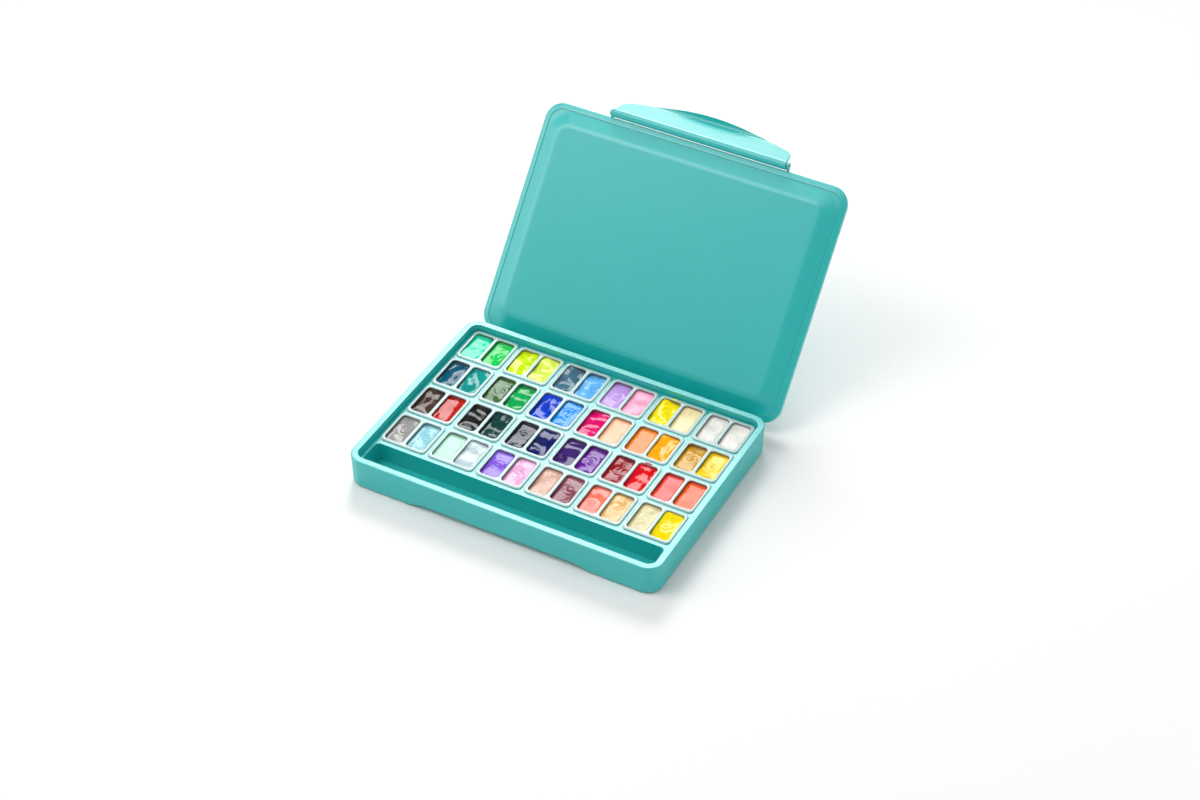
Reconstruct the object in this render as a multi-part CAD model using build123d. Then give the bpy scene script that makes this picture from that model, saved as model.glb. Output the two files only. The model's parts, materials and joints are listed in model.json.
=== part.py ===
"""Gouache paint set: a hinged, moulded case with a lift-out grid of twin cups and a brush trough.

Millimetres, +Z up. The origin is on the table under the middle of the closed case, +X along the
long side, +Y towards the hinges. The set stands open: the lid is swung back on its two rear hinges
and the wide latch handle is folded back from the lid's free edge.
"""

import os
from math import atan2, cos, degrees, radians, sin, tan

from build123d import *

# ---- case ------------------------------------------------------------------------------------
case_w = 270.0  # along X, at the rim
case_d = 195.8  # along Y, at the rim
case_h = 27.2  # table to rim
case_corner_r = 13.0
case_draft = 1.5  # degrees, the walls lean out towards the rim
case_wall = 2.2
case_floor = 2.0
case_foot_r = 3.2  # rounding where the walls meet the underside

arch_h = 5.2  # the raised front edge that the latch hooks under
arch_flat = 122.0
arch_span = 182.0
arch_gap = 0.4  # raised floor over the arch to the trough

# ---- tray insert -----------------------------------------------------------------------------
rim_w = 5.4
rim_t = 2.0
rim_edge_r = 0.8
rim_tongue = 4.0  # skirt that centres the insert inside the case wall
recess_depth = 6.6  # rim to the platform that carries the cups
tray_t = 1.8
seat_gap = 0.2  # insert to case
rib_t = 1.4
rib_h = 5.0

trough_front = 4.6  # strip of platform in front of the trough
trough_side = 3.4
trough_d = 22.8
trough_corner_r = 4.0
trough_wall = 1.6
trough_draft = 1.0  # degrees
trough_floor_gap = 0.6  # underside of the trough to the case floor

# ---- twin cups -------------------------------------------------------------------------------
cup_columns = 6
cup_rows = 4
cup_space_x = 2.1  # between neighbouring flanges
cup_space_y = 2.25
back_margin = 1.0  # recess wall to the first row's flange
flange_side = 1.6  # flange beyond the cup's body
flange_end = 1.9
flange_t = 1.3
flange_clip = 2.4  # the cups' cut-off corners, here and below, stand for rounded ones
well_w = 16.1
well_d = 30.9
well_clip = 2.0
well_bridge = 3.3  # strip between the two wells of a cup
cup_wall = 0.9
cup_lift = 0.6  # underside of a cup to the case floor
cup_gap = 0.4  # cup to its window in the platform
cup_clip = 2.6  # the body and its window
paint_below = 2.4  # flange to paint
paint_gap = 0.05

# ---- lid -------------------------------------------------------------------------------------
lid_seam = 0.4  # rim to rim when closed
lid_h = 10.0
lid_corner_r = 15.5
lid_bead_r = 1.2
lid_crown_r = 6.0
lid_rim_w = 5.0
lid_slope_w = 4.0  # outer part of the rim, which falls away to the edge
lid_slope_h = 1.3
lid_wall = 2.4
panel_seat = 3.0  # depth of the step that carries the inner panel
panel_ledge = 1.2
panel_gap = 0.15
panel_set = 0.2  # panel edge sits this far inside the rim
panel_wall = 2.0
pillow_h = 4.8  # crown of the panel over its own edge
pillow_run = 12.0
pillow_corner_r = 8.0
pillow_blend_r = 14.0

lid_open = 129.5  # degrees from closed
hinge_back = 1.0  # pivot behind the rim's edge
hinge_down = 9.7  # pivot below the rim
hinge_x = 85.0
knuckle_r = 1.9
knuckle_w = 14.0
lug_w = 6.0
hinge_gap = 0.35
pin_r = 0.9
pin_play = 0.06
stop_nose_r = 0.7
stop_play = 0.1
stop_angle = 30.0  # degrees below level where the nose meets the wall

# ---- latch handle ----------------------------------------------------------------------------
latch_open = 150.5  # degrees from hooked
latch_w = 159.5  # over the lugs that hold it
latch_r = 3.8  # barrel along the lid's edge
latch_gap = 0.4  # barrel to the lid's side
latch_up = 0.4  # pivot above the lid's lower face
latch_t = 2.2
lip_r = 3.0  # inside the bend
lip_h = 5.6  # plate to the tip of the lip
lip_gap = 1.2  # lip to the arch it hooks under
latch_arc_r = 270.0  # bowed edge
latch_taper = 3.0  # each end draws in towards the bowed edge
latch_corner_r = 10.0
lug_side = 1.8  # width of the lid's lug at each end of the barrel
lug_r = 2.7
lug_t = 2.2
lug_gap = 0.25
rod_r = 1.0
rod_play = 0.06

# ---- places that follow from the sizes -------------------------------------------------------
platform_z = case_h - recess_depth
flange_z = platform_z + flange_t
cup_floor_z = case_floor + cup_lift
well_floor_z = cup_floor_z + cup_wall
pivot_y, pivot_z = case_d / 2 + hinge_back, case_h - hinge_down
stop_nose_at = (knuckle_r + hinge_gap - stop_play - stop_nose_r) / cos(radians(stop_angle))
lid_z = case_h + lid_seam
latch_y, latch_z = -case_d / 2 - latch_r - latch_gap, lid_z + latch_up
latch_reach = latch_z - arch_h + lip_gap
recess_back = case_d / 2 - rim_w
trough_y0 = -recess_back + trough_front
trough_y1 = trough_y0 + trough_d
body_w = 2 * well_w + well_bridge + 2 * cup_wall
body_d = well_d + 2 * cup_wall
flange_w, flange_d = body_w + 2 * flange_side, body_d + 2 * flange_end
window_w, window_d = body_w + 2 * cup_gap, body_d + 2 * cup_gap
cup_y0 = recess_back - back_margin - flange_d / 2
arch_reach = rim_w + trough_front - trough_wall - case_floor - arch_gap
column_x = [(i - (cup_columns - 1) / 2) * (flange_w + cup_space_x) for i in range(cup_columns)]
row_y = [cup_y0 - j * (flange_d + cup_space_y) for j in range(cup_rows)]


def slab(w, d, r, z0, z1, x=0.0, y=0.0):
    """A rounded rectangle raised from z0 to z1."""
    return Pos(x, y, z0) * extrude(RectangleRounded(w, d, r), z1 - z0)


def drafted(outline, z0, z1, lean, x=0.0, y=0.0):
    """A block with this outline at z1 that narrows towards z0 by lean degrees a side."""
    return extrude(Pos(x, y, z1) * outline, z1 - z0, dir=(0, 0, -1), taper=lean)


def clipped(w, d, c, z0, z1, x=0.0, y=0.0):
    """A block with its upright corners cut off, raised from z0 to z1."""
    return Pos(x, y, z0) * extrude(chamfer(Rectangle(w, d).vertices(), c), z1 - z0)


def bar(x0, x1, section):
    """A section drawn in (y, z) and carried along X from x0 to x1."""
    return Pos(x0, 0, 0) * extrude(Plane.YZ * section, x1 - x0)


def disc(y, z, r):
    return Pos(y, z) * Circle(r)


def arch(h, grow, y0, y1):
    """The bow under the front edge: a flat top that runs out to the feet in two tangent arcs."""
    flat, span = arch_flat / 2 + grow, arch_span / 2 + grow
    run = (span - flat) / 2
    bend = (run**2 + (h / 2) ** 2) / h
    with BuildSketch(Plane.XZ) as s:
        with BuildLine():
            Line((-span, -1), (span, -1))
            Line((span, -1), (span, 0))
            RadiusArc((span, 0), (span - run, h / 2), bend)
            RadiusArc((span - run, h / 2), (flat, h), -bend)
            Line((flat, h), (-flat, h))
            RadiusArc((-flat, h), (-span + run, h / 2), -bend)
            RadiusArc((-span + run, h / 2), (-span, 0), bend)
            Line((-span, 0), (-span, -1))
        make_face()
    return Pos(0, y1, 0) * extrude(s.sketch, y1 - y0)


# ---- case shell ------------------------------------------------------------------------------
def base_shell():
    top = case_h - rim_t
    front = -case_d / 2
    body = drafted(RectangleRounded(case_w, case_d, case_corner_r), 0, top, case_draft)
    body = fillet(body.faces().sort_by(Axis.Z)[0].edges(), case_foot_r)
    body -= arch(arch_h, 0, front - 5, front + arch_reach)
    room = RectangleRounded(
        case_w - 2 * case_wall, case_d - 2 * case_wall, case_corner_r - case_wall
    )
    inside = drafted(room, case_floor, top, case_draft)
    inside -= arch(arch_h + case_floor, case_floor, front - 5, front + arch_reach + case_floor)
    body -= inside
    # rear hinges: two lugs each, and between them a shallow pocket for the lid's knuckle
    side = disc(pivot_y, pivot_z, knuckle_r) + make_face(
        Polyline(
            (case_d / 2 - 1.2, pivot_z + knuckle_r),
            (pivot_y, pivot_z + knuckle_r),
            (pivot_y + knuckle_r, pivot_z),
            (pivot_y, pivot_z - knuckle_r),
            (case_d / 2 - 1.2, pivot_z - 2.4 * knuckle_r),
            close=True,
        )
    )
    bore = disc(pivot_y, pivot_z, pin_r)
    room = knuckle_r + hinge_gap
    for s in (-1, 1):
        body -= Pos(s * hinge_x, pivot_y - room + 5, pivot_z) * Box(
            knuckle_w + 2 * hinge_gap, 10, 2 * (room + stop_nose_r)
        )
        for t in (-1, 1):
            x0 = s * hinge_x + t * (knuckle_w / 2 + hinge_gap)
            x1 = x0 + t * lug_w
            body += bar(min(x0, x1), max(x0, x1), side - bore)
    return body


# ---- tray insert -----------------------------------------------------------------------------
def paint_tray():
    inner_w, inner_d, inner_r = case_w - 2 * rim_w, case_d - 2 * rim_w, case_corner_r - rim_w
    rim = slab(case_w, case_d, case_corner_r, case_h - rim_t, case_h)
    tongue_in = case_wall + seat_gap + 0.2
    rim += slab(
        case_w - 2 * tongue_in,
        case_d - 2 * tongue_in,
        case_corner_r - tongue_in,
        case_h - rim_t - rim_tongue,
        case_h - rim_t,
    )
    wall_in = rim_w - tray_t
    rim += slab(
        case_w - 2 * wall_in, case_d - 2 * wall_in, case_corner_r - wall_in, platform_z - tray_t, case_h - rim_t
    )
    rim = fillet(rim.faces().sort_by(Axis.Z)[-1].edges(), rim_edge_r)
    rim -= slab(inner_w, inner_d, inner_r, platform_z, case_h + 1)

    rib_y0, rib_y1 = row_y[-1] - window_d / 2, row_y[0] + window_d / 2
    for i in range(cup_columns - 1):
        x = (column_x[i] + column_x[i + 1]) / 2
        rim += Pos(x, (rib_y0 + rib_y1) / 2, platform_z - tray_t - rib_h / 2) * Box(rib_t, rib_y1 - rib_y0, rib_h)
    for j in range(cup_rows - 1):
        y = (row_y[j] + row_y[j + 1]) / 2
        rim += Pos(0, y, platform_z - tray_t - rib_h / 2) * Box(
            column_x[-1] - column_x[0] + window_w, rib_t, rib_h
        )
    deep = cup_floor_z - cup_lift + trough_floor_gap
    length, y = inner_w - 2 * trough_side, (trough_y0 + trough_y1) / 2
    pocket = RectangleRounded(length, trough_d, trough_corner_r)
    rim += Pos(0, y, deep) * extrude(offset(pocket, trough_wall), platform_z - 0.2 - deep)
    rim -= drafted(pocket, deep + trough_wall, platform_z + 1, trough_draft, y=y)
    for x in column_x:
        for y in row_y:
            rim -= clipped(window_w, window_d, cup_clip, platform_z - tray_t - 1, platform_z + 1, x, y)
    return rim


# ---- cups and paint --------------------------------------------------------------------------
def both_wells(grow, z0, z1):
    at = (well_bridge + well_w) / 2
    return [clipped(well_w + 2 * grow, well_d + 2 * grow, well_clip, z0, z1, x) for x in (-at, at)]


def twin_cup():
    cup = clipped(body_w, body_d, cup_clip, cup_floor_z, platform_z)
    cup += clipped(flange_w, flange_d, flange_clip, platform_z, flange_z)
    for well in both_wells(0, well_floor_z, flange_z):
        cup -= well
    return cup


def paint_pair():
    return Compound(both_wells(-paint_gap, well_floor_z + paint_gap, flange_z - paint_below))


# ---- lid, drawn closed -----------------------------------------------------------------------
def lid_outer_shell():
    edge_z = lid_z + lid_slope_h
    lid = slab(case_w, case_d, lid_corner_r, edge_z, lid_z + lid_h)
    lid = fillet(lid.faces().sort_by(Axis.Z)[-1].edges(), lid_crown_r)
    fall = 90 - degrees(atan2(lid_slope_h, lid_slope_w))
    lid += drafted(RectangleRounded(case_w, case_d, lid_corner_r), lid_z, edge_z, fall)
    lid = fillet([e for e in lid.edges() if abs(e.center().Z - edge_z) < 0.01], lid_bead_r)
    seat = lid_z + panel_seat
    lid -= slab(case_w - 2 * lid_rim_w, case_d - 2 * lid_rim_w, lid_corner_r - lid_rim_w, lid_z - 1, seat)
    inset = lid_rim_w + panel_ledge
    lid -= slab(
        case_w - 2 * inset, case_d - 2 * inset, lid_corner_r - inset, seat - 1, lid_z + lid_h - lid_wall
    )

    # rear hinge arms hang down behind the case wall, each with a nose that meets it when fully open
    root_z = edge_z + lid_bead_r
    inner = case_d / 2 + lid_seam
    turn = radians(lid_open + stop_angle)
    nose = disc(pivot_y - stop_nose_at * cos(turn), pivot_z - stop_nose_at * sin(turn), stop_nose_r)
    arm = (
        make_face(
            Polyline(
                (case_d / 2 - 2, root_z),
                (inner, root_z - 1),
                (inner, pivot_z),
                (pivot_y + knuckle_r, pivot_z),
                (pivot_y + 0.9, root_z),
                (case_d / 2 - 1, lid_z + lid_h - lid_crown_r + 2),
                (case_d / 2 - 2, lid_z + lid_h - lid_crown_r + 2),
                close=True,
            )
        )
        + disc(pivot_y, pivot_z, knuckle_r)
        + nose
        - disc(pivot_y, pivot_z, pin_r + pin_play)
    )
    for x in (-hinge_x, hinge_x):
        lid += bar(x - knuckle_w / 2, x + knuckle_w / 2, arm)

    # front lugs carry the latch rod past both ends of the handle
    eye = (
        disc(latch_y, latch_z, lug_r)
        + make_face(
            Polyline(
                (latch_y, latch_z + lug_r - lug_t),
                (latch_y, latch_z + lug_r),
                (-case_d / 2 + 2, root_z + lug_t),
                (-case_d / 2 + 2, root_z),
                close=True,
            )
        )
        - disc(latch_y, latch_z, rod_r + rod_play)
    )
    lid += bar(-latch_w / 2, -latch_w / 2 + lug_side, eye)
    lid += bar(latch_w / 2 - lug_side, latch_w / 2, eye)
    return lid


def lid_inner_panel():
    inset = lid_rim_w + panel_gap
    edge_w, edge_d, edge_r = case_w - 2 * inset, case_d - 2 * inset, lid_corner_r - inset
    edge_z, seat, crown = lid_z + panel_set, lid_z + panel_seat, lid_z + panel_set - pillow_h
    panel = slab(edge_w, edge_d, edge_r, edge_z, seat)

    lean = 90 - degrees(atan2(pillow_h, pillow_run))
    swell = drafted(RectangleRounded(edge_w, edge_d, pillow_corner_r + pillow_run), crown, edge_z, lean)
    panel += fillet(swell.faces().sort_by(Axis.Z)[0].edges(), pillow_blend_r)
    hollow = RectangleRounded(
        edge_w - 2 * panel_wall, edge_d - 2 * panel_wall, pillow_corner_r + pillow_run - panel_wall
    )
    panel -= drafted(hollow, crown + panel_wall, edge_z + panel_wall, lean)
    panel -= Pos(0, 0, edge_z + panel_wall) * extrude(hollow, seat + 1)
    return panel


def hinge_pins():
    reach = knuckle_w / 2 + hinge_gap + lug_w
    return Compound([bar(x - reach, x + reach, disc(pivot_y, pivot_z, pin_r)) for x in (-hinge_x, hinge_x)])


# ---- latch handle, drawn hooked --------------------------------------------------------------
def latch_handle():
    bend_y, bend_z, outer_r = latch_r + lip_r, lip_r - latch_reach, lip_r + latch_t
    with BuildSketch() as profile:
        Circle(latch_r)
        with BuildLine():
            inside = Line((latch_r, 0), (latch_r, bend_z))
            bend = CenterArc((bend_y, bend_z), lip_r, 180, 90)
            tip = Polyline(
                bend @ 1,
                (latch_r + lip_h, -latch_reach),
                (latch_r + lip_h, -latch_reach - latch_t),
                (bend_y, -latch_reach - latch_t),
            )
            back = CenterArc((bend_y, bend_z), outer_r, 270, -90)
            Polyline(back @ 1, (latch_r - latch_t, 0), inside @ 0)
        make_face()
    half = latch_w / 2 - lug_side - lug_gap
    handle = bar(-half, half, profile.sketch)

    # the outline, cut along the diagonal between plate and lip: the ends draw in, and one bowed
    # edge runs up each end of the plate and on over the lip
    apex = (latch_r + lip_h + latch_reach) / 2**0.5
    end = half - latch_taper
    fall = latch_arc_r - (latch_arc_r**2 - end**2) ** 0.5
    with BuildSketch(Plane((0, 0, 0), x_dir=(1, 0, 0), z_dir=(0, 1, 1))) as outline:
        with BuildLine():
            Line((-half, -latch_r), (half, -latch_r))
            Line((half, -latch_r), (end, apex - fall))
            RadiusArc((end, apex - fall), (-end, apex - fall), -latch_arc_r)
            Line((-end, apex - fall), (-half, -latch_r))
        make_face()
        fillet(outline.vertices().sort_by(Axis.Y)[-2:], latch_corner_r)
    handle &= extrude(outline.sketch, 2 * latch_reach, both=True)
    handle -= bar(-latch_w, latch_w, Circle(rod_r))
    return Pos(0, latch_y, latch_z) * handle


def latch_rod():
    return bar(-latch_w / 2 + 1, latch_w / 2 - 1, disc(latch_y, latch_z, rod_r))


# ---- assembly, shown open --------------------------------------------------------------------
def swing(shape, y, z, angle):
    """Turn a shape about the X-wise axis through (y, z)."""
    return Pos(0, y, z) * Rot(-angle, 0, 0) * Pos(0, -y, -z) * shape


def opened(shape):
    return swing(shape, pivot_y, pivot_z, lid_open)


parts = {
    "base_shell": base_shell(),
    "paint_tray": paint_tray(),
    "lid_hinge_pins": hinge_pins(),
    "lid_outer_shell": opened(lid_outer_shell()),
    "lid_inner_panel": opened(lid_inner_panel()),
    "latch_handle": opened(swing(latch_handle(), latch_y, latch_z, latch_open)),
    "latch_rod": opened(latch_rod()),
}
cup, pair = twin_cup(), paint_pair()
for j, y in enumerate(row_y, 1):
    for i, x in enumerate(column_x, 1):
        parts[f"twin_cup_r{j}c{i}"] = Pos(x, y, 0) * cup
        parts[f"paint_r{j}c{i}"] = Pos(x, y, 0) * pair

os.makedirs("parts", exist_ok=True)
for name, shape in parts.items():
    export_step(shape, f"parts/{name}.step")
    print(name, len(shape.solids()), round(shape.volume))
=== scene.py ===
"""Looks of a gouache paint set: satin teal case, frosted twin cups and forty-eight wet fills.

Metres, +Z up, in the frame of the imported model. The case, tray, lid, panel, latch and pins are the
CAD nodes with finer materials; the cups and the paint are modelled here.
"""

import json
import random
from math import atan2, cos, exp, hypot, pi, radians, sin, tanh

import bmesh
import bpy
from mathutils import Matrix, Vector, noise

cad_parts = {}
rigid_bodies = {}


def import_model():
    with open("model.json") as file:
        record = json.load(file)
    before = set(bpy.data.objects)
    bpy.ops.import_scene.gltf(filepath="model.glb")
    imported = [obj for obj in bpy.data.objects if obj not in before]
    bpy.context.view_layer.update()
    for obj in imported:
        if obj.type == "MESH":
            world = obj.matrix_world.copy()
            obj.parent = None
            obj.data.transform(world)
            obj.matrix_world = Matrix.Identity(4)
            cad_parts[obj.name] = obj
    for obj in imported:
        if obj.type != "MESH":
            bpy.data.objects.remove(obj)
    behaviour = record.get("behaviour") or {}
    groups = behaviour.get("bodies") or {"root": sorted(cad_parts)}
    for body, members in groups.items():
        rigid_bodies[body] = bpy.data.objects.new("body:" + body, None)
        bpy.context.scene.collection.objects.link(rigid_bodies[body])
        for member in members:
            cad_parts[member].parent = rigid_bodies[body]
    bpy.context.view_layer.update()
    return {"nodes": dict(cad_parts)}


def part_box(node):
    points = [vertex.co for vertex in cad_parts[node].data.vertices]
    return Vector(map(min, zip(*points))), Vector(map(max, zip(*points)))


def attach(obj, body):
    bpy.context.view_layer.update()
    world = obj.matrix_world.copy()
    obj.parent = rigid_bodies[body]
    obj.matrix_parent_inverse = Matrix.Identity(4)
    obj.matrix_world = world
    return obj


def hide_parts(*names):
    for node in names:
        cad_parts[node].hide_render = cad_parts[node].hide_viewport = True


MM = 0.001

# ---- camera, as the photograph was taken -----------------------------------------------------
CAMERA_AT = Vector((769.9, -1395.8, 1424.0)) * MM
CAMERA_RIGHT = Vector((0.88231, 0.47062, 0.006665))
CAMERA_UP = Vector((-0.30964, 0.56973, 0.76127))
CAMERA_LENS = 81.82  # mm, over a sensor of the next width
CAMERA_SENSOR = 36.0
CAMERA_REACH = 50.0

# ---- light and floor -------------------------------------------------------------------------
# Square lamps: name, place, target, side, watts. The key stands where level faces mirror it
# towards the camera.
LAMPS = [
    ("key_softbox", (-0.71, 1.35, 1.32), (0, 0, 0.02), 0.75, 24),
    ("top_fill", (-0.9, -0.8, 1.95), (0, 0, 0.05), 1.0, 14),
    ("left_fill", (-1.9, -0.9, 1.2), (0, 0, 0.05), 1.4, 16),
    ("right_fill", (2.0, 0.2, 0.8), (0, 0, 0.05), 1.2, 9),
    ("latch_light", (-0.71, 1.94, 0.92), (0, 0.23, 0.17), 0.6, 4),
]
CEILING = 1.4  # light straight above, against 1 for white
# Height of a direction, 0 level or lower and 1 straight above, and the part of that light.
ROOM_LEVELS = (0.15, 0.7), (0.25, 0.25), (0.86, 0.25), (0.96, 1.0)
FLOOR_HALF = 6  # metres from the middle of the floor to its edge
FLOOR_GREY = 0.81
FLOOR_FADE = 0.3, 0.9  # metres from the object, shadowed card to plain white

# ---- colours, sRGB ---------------------------------------------------------------------------
CASE_TEAL = (4, 174, 171)
CUP_WHITE = (176, 200, 198)
STEEL_DARK, STEEL_LIGHT = (170, 172, 175), (200, 202, 204)

GOUACHE = {
    "mint": (10, 210, 160), "leaf": (10, 195, 80), "lime": (205, 235, 0),
    "pistachio": (215, 238, 80), "slate": (65, 105, 125), "sky": (100, 180, 240),
    "lilac": (190, 150, 225), "pink": (250, 160, 195), "lemon": (250, 230, 0),
    "cream": (234, 215, 162), "ivory": (214, 212, 206), "white": (220, 217, 210),
    "petrol": (0, 80, 105), "viridian": (0, 140, 135), "olive": (55, 100, 45),
    "emerald": (0, 160, 75), "cobalt": (0, 55, 190), "cerulean": (0, 140, 235),
    "magenta": (220, 0, 105), "peach": (246, 176, 132), "orange": (248, 122, 0),
    "amber": (252, 168, 0), "ochre": (200, 145, 10), "sunflower": (250, 205, 0),
    "umber": (65, 42, 30), "brick": (176, 18, 4), "black": (18, 18, 18),
    "spruce": (5, 55, 55), "indigo": (22, 28, 58), "navy": (8, 20, 92),
    "aubergine": (56, 26, 104), "violet": (96, 12, 144), "maroon": (145, 12, 28),
    "crimson": (220, 0, 20), "scarlet": (238, 48, 36), "tangerine": (246, 84, 8),
    "grey": (145, 143, 141), "pool": (135, 195, 205), "aqua": (160, 215, 188),
    "ice": (188, 206, 213), "lavender": (125, 85, 208), "mauve": (230, 168, 210),
    "clay": (195, 150, 130), "plum": (132, 64, 82), "coral": (248, 112, 90),
    "sand": (222, 175, 105), "straw": (208, 198, 146), "canary": (248, 220, 0),
}

# The fills from the back row to the front one, each cup's left then right.
ROWS = [
    "mint leaf lime pistachio slate sky lilac pink lemon cream ivory white",
    "petrol viridian olive emerald cobalt cerulean magenta peach orange amber ochre sunflower",
    "umber brick black spruce indigo navy aubergine violet maroon crimson scarlet tangerine",
    "grey pool aqua ice lavender mauve clay plum coral sand straw canary",
]

# How each fill was left: s stirred to a swirl, d dragged with a knife, f flat.
STROKES = ["dsddddsfdfff", "ddsddsdffdss", "ddddsddssdff", "ssfsssfsssfs"]

# ---- finishes --------------------------------------------------------------------------------
CLOUDING = 0.015  # share by which a moulded colour drifts either way
PLASTIC_ROUGHNESS = 0.36
FROST_DEPTH = 2 * MM  # how far light spreads inside a cup
DEEP_STRAIN, PALE_STRAIN = 0.92, 0.04  # of a paint's colour, and from it towards white
PAINTED_WALL_SHADE = 0.55  # painted shade: the part of its colour that paint keeps at its edge and up a well's wall, where the well's edge shades it
DRIED = {"s": 0.08, "d": 0.08, "f": 0.14}  # least roughness of each stroke
# Sockets of Blender's Mix node when it mixes colours.
MIX_FACTOR, MIX_FIRST, MIX_SECOND, MIX_RESULT = 0, 6, 7, 2

# ---- case ------------------------------------------------------------------------------------
EDGE_ROUND = 0.35 * MM  # softening of the case's moulded edges
EDGE_CREASE = radians(40)  # the least bend that counts as an edge
WELD_REACH = 1e-6

# ---- cups ------------------------------------------------------------------------------------
CORNER_STEPS, EDGE_STEPS = 6, 3  # of a rounded corner and a rounded edge
FLANGE_CORNER = 4.0 * MM
FLANGE_THICK = 1.3 * MM
FLANGE_EDGE = 1.2 * MM, 1.0 * MM  # how far in and how far down its rounded edge goes
FLANGE_BREAK = 0.1 * MM  # chamfer under its rim
WELL_W, WELL_D = 16.4 * MM, 30.9 * MM
WELL_CORNER = 3.2 * MM
WELL_LIP = 0.5 * MM
WELL_FLOOR = 0.9 * MM
WELL_FOOT = 0.6 * MM, 0.8 * MM  # how far in and how far up its sloped foot goes
FOOT_CORNER = WELL_CORNER - 0.5 * MM
BRIDGE = 2.7 * MM  # between a cup's two wells
WALL = 0.9 * MM
# The body's rounded foot: inset, corner beyond the well's, height.
CUP_FOOT = (0.8 * MM, 0.0, 0.0), (0.3 * MM, 0.5 * MM, 0.4 * MM)

# ---- paint -----------------------------------------------------------------------------------
FILL_DROP = 2.5 * MM  # flange to the mean level of the paint
FILL_GAP = 0.03 * MM
FILL_STEPS = 26, 48  # faces across and along a fill
FILM = 0.25 * MM  # paint left up the well walls
FILM_TOP = 0.3 * MM  # from the foot of a well's lip down to the film
FILM_RAG = 0.35 * MM  # how uneven the film's edge is
HIGHEST = 1.7 * MM  # a wave of paint over its mean level
CLIMB = 3.0 * MM, 0.7 * MM  # how near the walls the paint starts to climb them, and how much
WAVE_CELL = 11 * MM
WAVE_DEPTH = {"s": 0.9 * MM, "d": 2.0 * MM, "f": 0.4 * MM}
RIPPLE = 4.5, 0.05 * MM  # ripples to a wave, and their height
TILT = 0.09, 0.05  # most slope across and along a fill
TILT_EASED = {"s": 1, "d": 1, "f": 3}  # what divides it
SWIRL_OFF = 1.5, 5.0  # mm from the fill's middle, at most
SWIRL_PITCH = 3.2, 4.2  # mm from furrow to furrow, least and most
SWIRL_BEND = 1.6 * MM
SWIRL_DEPTH = 0.14 * MM
SWIRL_REACH = 6.5 * MM

# Paint caught on a flange: cup, side, place from the well's middle, length and width, in mm. The
# place's first number also seeds the outline.
SMEARS = [
    ("r1c5", "left", (1.5, 16.6), (6.0, 1.5)),
    ("r3c5", "right", (-1.5, 16.4), (8.0, 1.7)),
]
SMEAR_THICK = 0.45 * MM
SMEAR_SUNK = 0.05 * MM
SMEAR_RAG = 0.35
SMEAR_RINGS, SMEAR_POINTS = 5, 40


# ---- materials -------------------------------------------------------------------------------
def srgb(rgb):
    """An sRGB colour, 0 to 255, as a linear RGBA value."""
    linear = (c / 255 / 12.92 if c < 11 else ((c / 255 + 0.055) / 1.055) ** 2.4 for c in rgb)
    return tuple(linear) + (1.0,)


def clouds_of(rgb):
    """The darkest and the lightest that a moulded colour gets."""
    return [c * (1 - CLOUDING) for c in rgb], [min(c * (1 + CLOUDING), 255) for c in rgb]


def new_material(name):
    mat = bpy.data.materials.new(name)
    mat.use_nodes = True
    tree = mat.node_tree
    return mat, tree, tree.nodes["Principled BSDF"]


def node(tree, kind, **values):
    """A new node, its sockets and settings given by name."""
    made = tree.nodes.new(kind)
    for key, value in values.items():
        if key in made.inputs:
            made.inputs[key].default_value = value
        else:
            setattr(made, key, value)
    return made


def object_place(tree):
    return node(tree, "ShaderNodeTexCoord").outputs["Object"]


def mottled(tree, scale, low, high, place):
    """Noise mapped between two values."""
    cloud = node(tree, "ShaderNodeTexNoise", Scale=scale, Detail=4.0)
    tree.links.new(place, cloud.inputs["Vector"])
    span = tree.nodes.new("ShaderNodeMapRange")
    span.inputs["To Min"].default_value = low
    span.inputs["To Max"].default_value = high
    tree.links.new(cloud.outputs["Fac"], span.inputs["Value"])
    return span.outputs["Result"]


def clouded_colour(tree, shader, scale, dark, light, place):
    """A base colour that drifts between two."""
    ramp = node(tree, "ShaderNodeValToRGB")
    ramp.color_ramp.elements[0].color = srgb(dark)
    ramp.color_ramp.elements[1].color = srgb(light)
    tree.links.new(mottled(tree, scale, 0, 1, place), ramp.inputs["Fac"])
    tree.links.new(ramp.outputs["Color"], shader.inputs["Base Color"])


def clouded_roughness(tree, shader, scale, low, high, place):
    tree.links.new(mottled(tree, scale, low, high, place), shader.inputs["Roughness"])


def grained(tree, shader, strength, distance, place, **texture):
    """A fine bump, from a noise texture of these settings."""
    grain = node(tree, "ShaderNodeTexNoise", **texture)
    tree.links.new(place, grain.inputs["Vector"])
    bump = node(tree, "ShaderNodeBump", Strength=strength, Distance=distance)
    tree.links.new(grain.outputs["Fac"], bump.inputs["Height"])
    tree.links.new(bump.outputs["Normal"], shader.inputs["Normal"])


def moulded_plastic(name, rgb):
    """Satin injection-moulded plastic: a fine spark-eroded grain and faint cloudiness."""
    mat, tree, shader = new_material(name)
    place = object_place(tree)
    clouded_colour(tree, shader, 35, *clouds_of(rgb), place)
    low, high = PLASTIC_ROUGHNESS - 0.03, PLASTIC_ROUGHNESS + 0.03
    clouded_roughness(tree, shader, 60, low, high, place)
    grained(tree, shader, 0.06, 0.04 * MM, place, Scale=5200.0, Detail=2.0)
    shader.inputs["Specular IOR Level"].default_value = 1.0
    return mat


def drawn_steel():
    mat, tree, shader = new_material("steel_pin")
    shader.inputs["Metallic"].default_value = 1.0
    place = object_place(tree)
    clouded_colour(tree, shader, 400, STEEL_DARK, STEEL_LIGHT, place)
    clouded_roughness(tree, shader, 900, 0.25, 0.4, place)
    return mat


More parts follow.
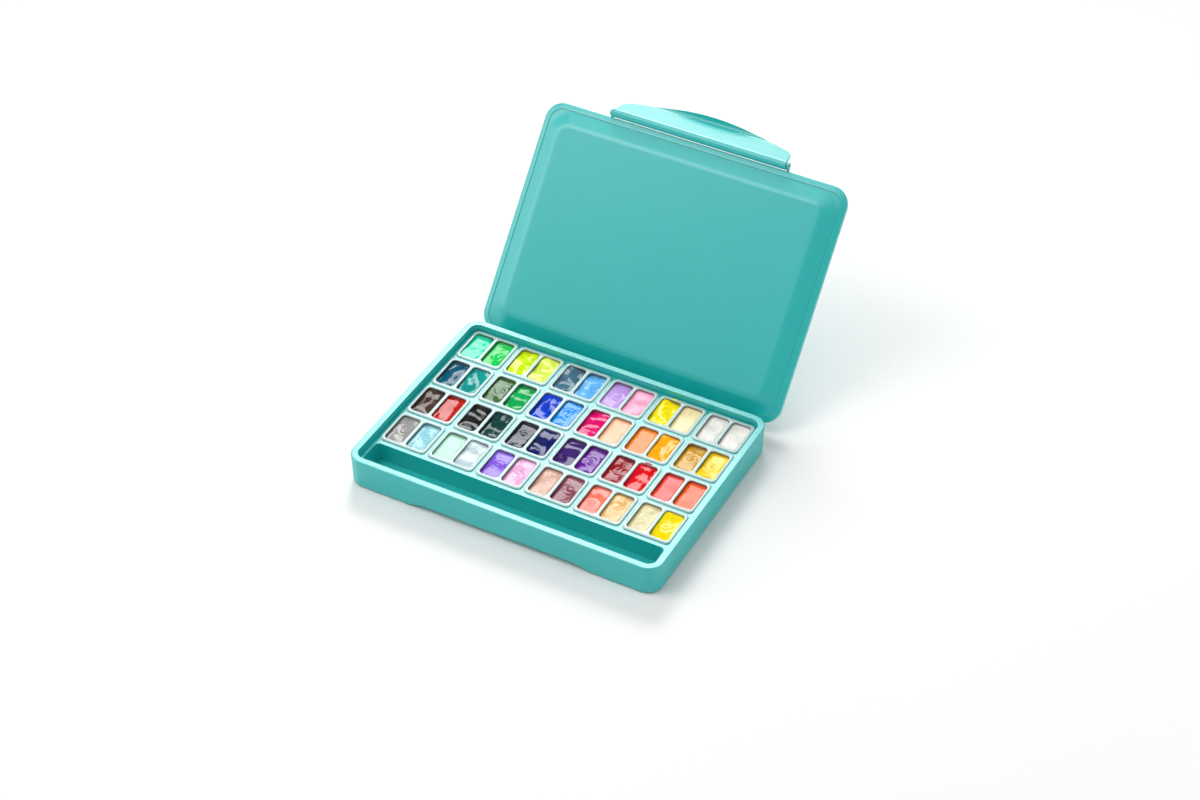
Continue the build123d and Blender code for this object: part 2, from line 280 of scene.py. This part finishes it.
def frosted_plastic():
    mat, tree, shader = new_material("frosted_cup")
    place = object_place(tree)
    clouded_colour(tree, shader, 120, *clouds_of(CUP_WHITE), place)
    clouded_roughness(tree, shader, 300, 0.28, 0.4, place)
    shader.inputs["Subsurface Weight"].default_value = 0.15
    shader.inputs["Subsurface Radius"].default_value = (FROST_DEPTH,) * 3
    return mat


def wet_paint(name, rgb, seed, stroke):
    """Glossy gouache: the tube's colour with a deeper and a paler strain of it, its colour darkened
    at its edge and up the well's walls as painted shade, and drier where it was left flat."""
    draw = random.Random(seed)
    mat, tree, shader = new_material(name)
    shift = node(tree, "ShaderNodeMapping")
    shift.inputs["Location"].default_value = [draw.uniform(-5, 5) for _ in range(3)]
    tree.links.new(object_place(tree), shift.inputs["Vector"])
    place = shift.outputs["Vector"]

    streak = node(tree, "ShaderNodeTexNoise", Scale=150.0, Detail=3.0, Distortion=1.6)
    tree.links.new(place, streak.inputs["Vector"])
    ramp = node(tree, "ShaderNodeValToRGB")
    stops = ramp.color_ramp.elements
    stops[0].position, stops[0].color = 0.34, srgb([c * DEEP_STRAIN for c in rgb])
    stops[1].position = 0.68
    stops[1].color = srgb([c + (255 - c) * PALE_STRAIN for c in rgb])
    stops.new(0.5).color = srgb(rgb)
    tree.links.new(streak.outputs["Fac"], ramp.inputs["Fac"])

    # painted shade: the paint's colour darkened where the mesh marks the fill's edge and its film up
    # the walls
    painted_wall_shade = node(tree, "ShaderNodeAttribute", attribute_name="painted_wall_shade")
    painted_shade_mix = node(tree, "ShaderNodeMix", data_type="RGBA")
    painted_shade_mix.inputs[MIX_SECOND].default_value = srgb([c * PAINTED_WALL_SHADE for c in rgb])
    tree.links.new(painted_wall_shade.outputs["Fac"], painted_shade_mix.inputs[MIX_FACTOR])
    tree.links.new(ramp.outputs["Color"], painted_shade_mix.inputs[MIX_FIRST])
    tree.links.new(painted_shade_mix.outputs[MIX_RESULT], shader.inputs["Base Color"])

    grained(tree, shader, 0.05, 0.05 * MM, place, Scale=700.0, Detail=2.0, Distortion=1.0)
    shader.inputs["Specular IOR Level"].default_value = 0.18
    clouded_roughness(tree, shader, 200, DRIED[stroke], DRIED[stroke] + 0.08, place)
    return mat


def math_of(tree, operation, first, second):
    """Two sockets made one by a Math node."""
    made = node(tree, "ShaderNodeMath", operation=operation)
    tree.links.new(first, made.inputs[0])
    tree.links.new(second, made.inputs[1])
    return made.outputs[0]


def floor_material():
    """White card that keeps the object's shadow near it and is plain white further out."""
    mat, tree, shader = new_material("paper_sweep")
    shader.inputs["Base Color"].default_value = (FLOOR_GREY, FLOOR_GREY, FLOOR_GREY, 1)
    shader.inputs["Roughness"].default_value = 0.9
    shader.inputs["Specular IOR Level"].default_value = 0.2
    away = node(tree, "ShaderNodeVectorMath", operation="LENGTH")
    tree.links.new(object_place(tree), away.inputs[0])
    fade = node(tree, "ShaderNodeMapRange", interpolation_type="SMOOTHSTEP")
    fade.inputs["From Min"].default_value, fade.inputs["From Max"].default_value = FLOOR_FADE
    tree.links.new(away.outputs["Value"], fade.inputs["Value"])

    path = node(tree, "ShaderNodeLightPath").outputs
    seen = math_of(tree, "MAXIMUM", path["Is Camera Ray"], path["Is Glossy Ray"])
    seen = math_of(tree, "MAXIMUM", seen, path["Is Transmission Ray"])
    part = math_of(tree, "MULTIPLY", seen, fade.outputs["Result"])
    glow = node(tree, "ShaderNodeEmission", Strength=1.0)
    mix = node(tree, "ShaderNodeMixShader")
    tree.links.new(part, mix.inputs[0])
    tree.links.new(shader.outputs[0], mix.inputs[1])
    tree.links.new(glow.outputs[0], mix.inputs[2])
    tree.links.new(mix.outputs[0], tree.nodes["Material Output"].inputs["Surface"])
    return mat


# ---- mesh building ---------------------------------------------------------------------------
def rounded(w, d, r, z, x=0.0):
    """Points of a rounded rectangle about (x, 0) at height z, anticlockwise."""
    r = max(r, 1e-5)
    out = []
    for k, (sx, sy) in enumerate(((1, 1), (-1, 1), (-1, -1), (1, -1))):
        cx, cy = x + sx * (w / 2 - r), sy * (d / 2 - r)
        for i in range(CORNER_STEPS + 1):
            a = (k + i / CORNER_STEPS) * pi / 2
            out.append(Vector((cx + r * cos(a), cy + r * sin(a), z)))
    return out


def skin(bm, rings):
    """Quads between rings of equally many points; gives each ring's vertices."""
    made = [[bm.verts.new(p) for p in ring] for ring in rings]
    for low, high in zip(made, made[1:]):
        n = len(low)
        for i in range(n):
            bm.faces.new((low[i], low[(i + 1) % n], high[(i + 1) % n], high[i]))
    return made


def quarter(run, drop, top):
    """(inset, height) pairs of a rounded top edge, from the upright side to the flat top."""
    turns = [i / EDGE_STEPS * pi / 2 for i in range(EDGE_STEPS + 1)]
    return [(run * (1 - cos(a)), top - drop * (1 - sin(a))) for a in turns]


def finish_mesh(bm, name, mat, smooth=True):
    """A mesh of one material, made from bm."""
    mesh = bpy.data.meshes.new(name)
    bmesh.ops.recalc_face_normals(bm, faces=bm.faces)
    bm.to_mesh(mesh)
    bm.free()
    mesh.materials.append(mat)
    if smooth:
        mesh.shade_smooth()
    return mesh


def add_object(name, data):
    obj = bpy.data.objects.new(name, data)
    bpy.context.scene.collection.objects.link(obj)
    return obj


def border(rows):
    """The outermost items of a grid, anticlockwise."""
    right, left = [row[-1] for row in rows[1:-1]], [row[0] for row in rows[-2:0:-1]]
    return rows[0] + right + rows[-1][::-1] + left


# ---- cups ------------------------------------------------------------------------------------
def cup_mesh(size):
    """A twin cup on its own base: body, flange with a soft edge, and two open wells."""
    bm = bmesh.new()
    w, d, top_z = size
    under_z = top_z - FLANGE_THICK
    body_w, body_d = 2 * WELL_W + BRIDGE + 2 * WALL, WELL_D + 2 * WALL
    rings = [
        rounded(body_w - 2 * inset, body_d - 2 * inset, WELL_CORNER + more, z)
        for inset, more, z in CUP_FOOT
    ]
    rings += [
        rounded(body_w, body_d, WELL_CORNER + WALL, under_z),
        rounded(w - 2 * FLANGE_BREAK, d - 2 * FLANGE_BREAK, FLANGE_CORNER - FLANGE_BREAK, under_z),
        rounded(w, d, FLANGE_CORNER, under_z + FLANGE_BREAK),
    ]
    for inset, z in quarter(*FLANGE_EDGE, top_z):
        rings.append(rounded(w - 2 * inset, d - 2 * inset, FLANGE_CORNER - inset, z))
    outer = skin(bm, rings)
    bm.faces.new(list(reversed(outer[0])))
    loops = [outer[-1]] + [well_mesh(bm, side * (WELL_W + BRIDGE) / 2, top_z) for side in (-1, 1)]
    edges = []
    for loop in loops:
        edges += [bm.edges.get((loop[i - 1], loop[i])) for i in range(len(loop))]
    bmesh.ops.triangle_fill(bm, use_beauty=True, edges=edges)
    return bm


def well_mesh(bm, x, top_z):
    """One well with a rounded lip and a sloped foot; gives the ring of its lip's outer edge."""
    inset, rise = WELL_FOOT
    rings = []
    for grow, z in reversed(quarter(WELL_LIP, WELL_LIP, top_z)):
        rings.append(rounded(WELL_W + 2 * grow, WELL_D + 2 * grow, WELL_CORNER + grow, z, x))
    rings.append(rounded(WELL_W, WELL_D, WELL_CORNER, WELL_FLOOR + rise, x))
    foot_w, foot_d = WELL_W - 2 * inset, WELL_D - 2 * inset
    rings.append(rounded(foot_w, foot_d, FOOT_CORNER, WELL_FLOOR, x))
    well = skin(bm, rings)
    bm.faces.new(well[-1])
    return well[0]


# ---- paint -----------------------------------------------------------------------------------
def stroke_field(seed, stroke):
    """Height in metres over one fill, for x and y in metres from its middle: slow waves left by
    the knife, a climb at the walls, and for a stirred fill a spiral furrow."""
    draw = random.Random(seed)
    off = Vector([draw.uniform(-50, 50) for _ in range(3)])
    cx, cy = [draw.uniform(-reach, reach) * MM for reach in SWIRL_OFF]
    turn, pitch = draw.choice((-1, 1)), draw.uniform(*SWIRL_PITCH) * MM
    tilt_x, tilt_y = [draw.uniform(-most, most) / TILT_EASED[stroke] for most in TILT]
    ripples, ripple_height = RIPPLE
    climb_reach, climb_height = CLIMB

    def height(x, y):
        p = Vector((x, y, 0)) / WAVE_CELL + off
        out = WAVE_DEPTH[stroke] * noise.noise(p) + tilt_x * x + tilt_y * y
        out += noise.noise(p * ripples) * ripple_height
        if stroke == "s":
            bend = noise.noise(p * 2 + Vector((9, 3, 1))) * SWIRL_BEND
            dx, dy = x - cx + bend, y - cy - bend
            r, a = hypot(dx, dy), atan2(dy, dx)
            fade = exp(-((r / SWIRL_REACH) ** 2)) * min(r / MM, 1)
            out += SWIRL_DEPTH * cos(2 * pi * r / pitch - turn * a) * fade
        inside = min(WELL_W / 2 - abs(x), WELL_D / 2 - abs(y))
        out += climb_height * max(0.0, 1 - inside / climb_reach) ** 2
        return HIGHEST * tanh(out / HIGHEST)

    return height


def in_well(u, v, w, d, r):
    """A point of a square, u and v from -1 to 1, carried onto a w by d rectangle whose corners
    have radius r."""
    x, y = u * w / 2, v * d / 2
    a, b = (abs(x) - w / 2) / r + 1, (abs(y) - d / 2) / r + 1
    if a > 0 and b > 0:
        x = (w / 2 - r + r * a * (1 - b * b / 2) ** 0.5) * (1 if x > 0 else -1)
        y = (d / 2 - r + r * b * (1 - a * a / 2) ** 0.5) * (1 if y > 0 else -1)
    return x, y


def fill_mesh(level, seed, stroke):
    """One fill about the well's centre, its underside at zero: a worked surface, the film that it
    leaves up the walls, straight sides and a foot as the well's."""
    bm = bmesh.new()
    painted_wall_shade = bm.verts.layers.float.new("painted_wall_shade")
    w, d = WELL_W - 2 * FILL_GAP, WELL_D - 2 * FILL_GAP
    height = stroke_field(seed, stroke)
    nx, ny = FILL_STEPS
    spots = [[(2 * i / nx - 1, 2 * j / ny - 1) for i in range(nx + 1)] for j in range(ny + 1)]
    grid = []
    for row in spots:
        flat = [in_well(u, v, w - 2 * FILM, d - 2 * FILM, WELL_CORNER) for u, v in row]
        grid.append([bm.verts.new((x, y, level + height(x, y))) for x, y in flat])
    for j in range(ny):
        for i in range(nx):
            bm.faces.new((grid[j][i], grid[j][i + 1], grid[j + 1][i + 1], grid[j + 1][i]))
    film, side, foot = [], [], []
    inset, rise = WELL_FOOT
    for u, v in border(spots):
        x, y = in_well(u, v, w, d, WELL_CORNER)
        rag = FILM_RAG * noise.noise(Vector((x / MM, y / MM, seed)))
        film.append(bm.verts.new((x, y, level + FILL_DROP - WELL_LIP - FILM_TOP + rag)))
        side.append(bm.verts.new((x, y, rise)))
        foot_at = in_well(u, v, w - 2 * inset, d - 2 * inset, WELL_CORNER)
        foot.append(bm.verts.new((*foot_at, 0)))
    rings = border(grid), film, side, foot
    for upper, lower in zip(rings, rings[1:]):
        for i in range(len(film)):
            bm.faces.new((upper[i - 1], lower[i - 1], lower[i], upper[i]))
    bm.faces.new(foot)
    # the fill's edge and its film up the walls are marked for the painted shade in its material
    for ring in rings:
        for vert in ring:
            vert[painted_wall_shade] = 1.0
    return bm


def dab_mesh(length, width, seed):
    """A smear of paint on its own base plane, long side along X, with a ragged outline."""
    bm = bmesh.new()
    rings = []
    for k in range(SMEAR_RINGS):
        t = k / SMEAR_RINGS
        ring = []
        for i in range(SMEAR_POINTS):
            a = 2 * pi * i / SMEAR_POINTS
            rag = 1 + SMEAR_RAG * noise.noise(Vector((2 * cos(a), 2 * sin(a), seed)))
            reach = (1 - t) ** 0.6 * rag
            x, y = length / 2 * reach * cos(a), width / 2 * reach * sin(a)
            ring.append(Vector((x, y, SMEAR_THICK * t ** 0.5)))
        rings.append(ring)
    made = skin(bm, rings)
    tip = bm.verts.new((0, 0, SMEAR_THICK))
    for i in range(SMEAR_POINTS):
        bm.faces.new((made[-1][i - 1], made[-1][i], tip))
    bm.faces.new(list(reversed(made[0])))
    return bm


def cups_and_paint():
    low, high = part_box("twin_cup_r1c1")
    shape = finish_mesh(cup_mesh(high - low), "cup_shape", frosted_plastic())
    for j, row in enumerate(ROWS):
        colours = row.split()
        for i in range(len(colours) // 2):
            cell = f"r{j + 1}c{i + 1}"
            low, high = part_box(f"twin_cup_{cell}")
            middle = (low + high) / 2
            cup = add_object(f"cup_{cell}", shape)
            cup.location = (middle.x, middle.y, low.z)
            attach(cup, f"cup_{cell}")
            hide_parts(f"twin_cup_{cell}")
            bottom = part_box(f"paint_{cell}")[0].z
            for k, side in enumerate(("left", "right")):
                seed = 100 + 20 * j + 2 * i + k
                stroke = STROKES[j][2 * i + k]
                name = f"gouache_{cell}_{side}"
                paint = wet_paint(name, GOUACHE[colours[2 * i + k]], seed, stroke)
                worked = fill_mesh(high.z - FILL_DROP - bottom, seed, stroke)
                fill = add_object(name, finish_mesh(worked, name, paint))
                x = middle.x + (2 * k - 1) * (WELL_W + BRIDGE) / 2
                fill.location = (x, middle.y, bottom)
                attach(fill, f"cup_{cell}")
                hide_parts(f"paint_{cell}")
    for cell, side, at, size in SMEARS:
        smear(cell, side, at, size)


def smear(cell, side, at, size):
    """One of the SMEARS, in the paint of the fill beside it."""
    fill = bpy.data.objects[f"gouache_{cell}_{side}"]
    shape = dab_mesh(size[0] * MM, size[1] * MM, at[0])
    name = f"smear_{cell}"
    dab = add_object(name, finish_mesh(shape, name, fill.data.materials[0]))
    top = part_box(f"twin_cup_{cell}")[1].z
    x, y = fill.location.x + at[0] * MM, fill.location.y + at[1] * MM
    dab.location = (x, y, top - SMEAR_SUNK)
    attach(dab, f"cup_{cell}")


# ---- case ------------------------------------------------------------------------------------
def case_parts(nodes):
    teal = moulded_plastic("case_teal", CASE_TEAL)
    steel = drawn_steel()
    for name in ("base_shell", "paint_tray", "lid_outer_shell", "lid_inner_panel", "latch_handle"):
        dress(nodes[name], teal)
    for name in ("lid_hinge_pins", "latch_rod"):
        dress(nodes[name], steel)


def dress(obj, mat):
    """A CAD node in a new material, its moulded edges softened."""
    for at in obj.material_slots:
        at.material = mat
    obj.data.shade_smooth()
    weld = obj.modifiers.new("weld", "WELD")
    weld.merge_threshold = WELD_REACH
    bevel = obj.modifiers.new("edges", "BEVEL")
    bevel.width, bevel.segments = EDGE_ROUND, 2
    bevel.limit_method, bevel.angle_limit = "ANGLE", EDGE_CREASE
    obj.modifiers.new("shading", "WEIGHTED_NORMAL")


# ---- studio ----------------------------------------------------------------------------------
def studio():
    bpy.context.scene.world = room_light()
    for name, at, target, side, watts in LAMPS:
        lamp(name, at, target, side, watts)
    bm = bmesh.new()
    bmesh.ops.create_grid(bm, x_segments=1, y_segments=1, size=FLOOR_HALF)
    floor = add_object("floor", finish_mesh(bm, "floor", floor_material(), smooth=False))


def photo_camera():
    back = CAMERA_RIGHT.cross(CAMERA_UP).normalized()
    right = CAMERA_UP.cross(back).normalized()
    axes = Matrix((right, back.cross(right), back)).transposed()
    camera = add_object("camera", bpy.data.cameras.new("camera"))
    camera.data.lens = CAMERA_LENS
    camera.data.sensor_width = CAMERA_SENSOR
    camera.data.clip_end = CAMERA_REACH
    camera.matrix_world = Matrix.Translation(CAMERA_AT) @ axes.to_4x4()
    bpy.context.scene.camera = camera


def room_light():
    """A white room, its walls dimmer than its ceiling and its horizon."""
    world = bpy.data.worlds.new("white_room")
    world.use_nodes = True
    tree = world.node_tree
    room = tree.nodes["Background"]
    axes = node(tree, "ShaderNodeSeparateXYZ")
    tree.links.new(node(tree, "ShaderNodeTexCoord").outputs["Generated"], axes.inputs[0])
    ramp = node(tree, "ShaderNodeValToRGB")
    stops = ramp.color_ramp.elements
    for position, _ in ROOM_LEVELS[1:-1]:
        stops.new(position)
    stops[0].position, stops[-1].position = ROOM_LEVELS[0][0], ROOM_LEVELS[-1][0]
    for stop, (_, level) in zip(stops, ROOM_LEVELS):
        stop.color = (level, level, level, 1)
    tree.links.new(axes.outputs["Z"], ramp.inputs["Fac"])
    tree.links.new(ramp.outputs["Color"], room.inputs["Color"])
    room.inputs["Strength"].default_value = CEILING
    return world


def lamp(name, at, target, side, watts):
    data = bpy.data.lights.new(name, "AREA")
    data.shape, data.size, data.energy = "SQUARE", side, watts
    obj = add_object(name, data)
    obj.location = at
    obj.rotation_euler = (Vector(target) - Vector(at)).to_track_quat("-Z", "Y").to_euler()


# ---- scene -----------------------------------------------------------------------------------
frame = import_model()
bpy.context.scene.view_settings.view_transform = "Standard"
photo_camera()
studio()
case_parts(frame["nodes"])
cups_and_paint()
